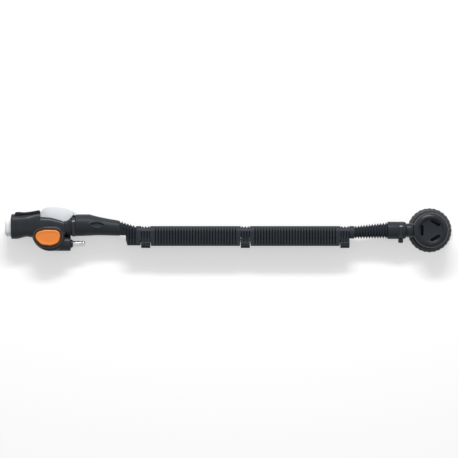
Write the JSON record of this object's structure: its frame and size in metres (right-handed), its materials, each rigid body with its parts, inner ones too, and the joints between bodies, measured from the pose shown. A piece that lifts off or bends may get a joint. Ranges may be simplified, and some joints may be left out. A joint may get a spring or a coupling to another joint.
{
  "type": "power inflator with corrugated hose and dump valve",
  "caption": "Diving jacket power inflator: barrel with mouthpiece, inflate button and exhaust lever, a ribbed hose with a low-pressure hose channel, and a slotted round dump valve.",
  "frame": {"origin": "middle of the base, on the surface that the assembly lies on", "axes": "+X from the mouthpiece to the dump valve, +Y towards the exhaust lever, +Z out of the face with the inflate button"},
  "size_m": [0.6706, 0.0684, 0.0355],
  "materials": {
    "clear_silicone": "translucent silicone",
    "black_moulding": "fine-textured black moulding",
    "saddle_rubber": "soft-touch grip",
    "bezel_grey": "satin dark grey",
    "orange_plastic": "satin orange with a dotted grip",
    "grey_plastic": "satin light grey",
    "steel": "stainless",
    "nipple_metal": "plated brass, satin",
    "seal_rubber": "black seal",
    "cuff_rubber": "smooth matte rubber",
    "hose_rubber": "matte moulded rubber",
    "keeper_rubber": "matte moulded rubber",
    "tie_nylon": "black nylon",
    "ring_plastic": "knurled dark grey moulding",
    "disc_plastic": "grey moulding"
  },
  "bodies": {
    "root": {"mouthpiece": "clear_silicone", "inflator_body": "black_moulding", "thumb_saddle": "saddle_rubber", "button_bezel": "bezel_grey", "button_spring": "steel", "exhaust_spring": "steel", "nipple_collar": "black_moulding", "qd_nipple": "nipple_metal", "hose_spigot": "black_moulding", "cuff_inflator": "cuff_rubber", "tie_inflator": "tie_nylon", "hose_root": "hose_rubber", "hose_span_1": "hose_rubber", "hose_span_2": "hose_rubber", "hose_tail": "hose_rubber", "keeper_hose_1": "hose_rubber", "keeper_hose_2": "hose_rubber", "keeper_hose_3": "hose_rubber", "channel_lip": "hose_rubber", "channel_walls_1": "hose_rubber", "channel_walls_2": "hose_rubber", "hose_keeper_1": "keeper_rubber", "hose_keeper_2": "keeper_rubber", "hose_keeper_3": "keeper_rubber", "cuff_valve": "cuff_rubber", "tie_valve": "tie_nylon", "elbow_body": "black_moulding", "clamp_gasket": "seal_rubber", "valve_cover": "black_moulding", "disc_spring": "steel"},
    "button": {"inflate_button": "orange_plastic", "inflate_stem": "steel"},
    "lever": {"exhaust_lever": "grey_plastic", "lever_pin": "steel"},
    "exhaust_valve": {"exhaust_stem": "steel", "exhaust_seal": "seal_rubber"},
    "dump_disc": {"exhaust_disc": "disc_plastic", "disc_seal": "seal_rubber"},
    "ring": {"clamp_ring": "ring_plastic"}
  },
  "joints": [
    {"name": "inflate_button_press", "type": "slide", "parent": "root", "child": "button", "axis": [0, 0, -1], "range_m": [0, 0.003], "stiffness_N_per_m": 1500, "springref_m": -0.002, "deforming": ["button_spring"]},
    {"name": "exhaust_lever_press", "type": "hinge", "parent": "root", "child": "lever", "pos_m": [-0.2408, 0.0181, 0.018], "axis": [0, 0, 1], "range_deg": [0, 7], "stiffness_Nm_per_rad": 0.5, "springref_deg": -2.86},
    {"name": "exhaust_valve_open", "type": "slide", "parent": "root", "child": "exhaust_valve", "axis": [0, -1, 0], "range_m": [0, 0.0032], "deforming": ["exhaust_spring"]},
    {"name": "dump_disc_lift", "type": "slide", "parent": "root", "child": "dump_disc", "axis": [0, 0, 1], "range_m": [0, 0.0022], "stiffness_N_per_m": 400, "springref_m": -0.003, "deforming": ["disc_spring"]},
    {"name": "clamp_ring_turn", "type": "hinge", "parent": "root", "child": "ring", "pos_m": [0.302, -0.0009, 0], "axis": [0, 0, 1], "continuous": true}
  ],
  "couplings": [
    {"joint": "exhaust_valve_open", "follows": "exhaust_lever_press", "m_per_rad": 0.025}
  ]
}
